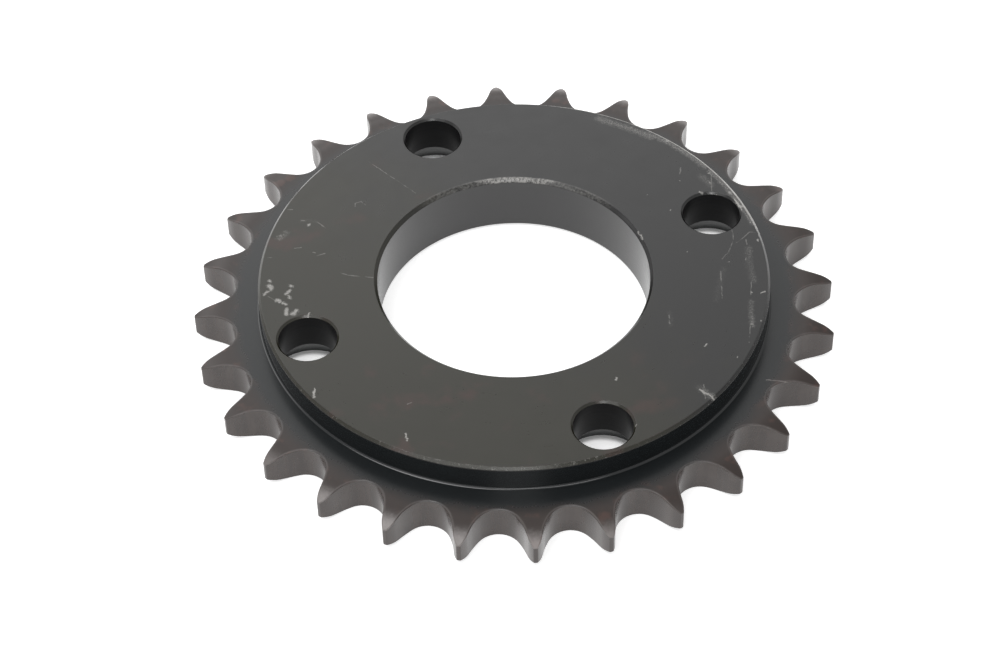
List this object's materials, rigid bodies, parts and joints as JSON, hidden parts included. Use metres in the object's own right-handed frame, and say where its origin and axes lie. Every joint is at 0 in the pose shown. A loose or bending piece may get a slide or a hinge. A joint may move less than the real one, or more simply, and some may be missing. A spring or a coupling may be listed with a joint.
{
  "type": "chain sprocket",
  "caption": "Flat toothed wheel for roller chain, with a raised round boss, a large plain bore and bolt holes counterbored from the back.",
  "frame": {"origin": "on the bore's axis, in the plane of the back face", "axes": "+Z along the bore, out of the front of the boss. The bolt holes lie on X and Y, and a gap between two teeth is centred on +X"},
  "size_m": [0.1494, 0.1494, 0.0154],
  "materials": {
    "steel": "satin black oxide over turned and hobbed steel, bare at a few worn edges"
  },
  "bodies": {
    "root": {"sprocket": "steel"}
  },
  "joints": []
}
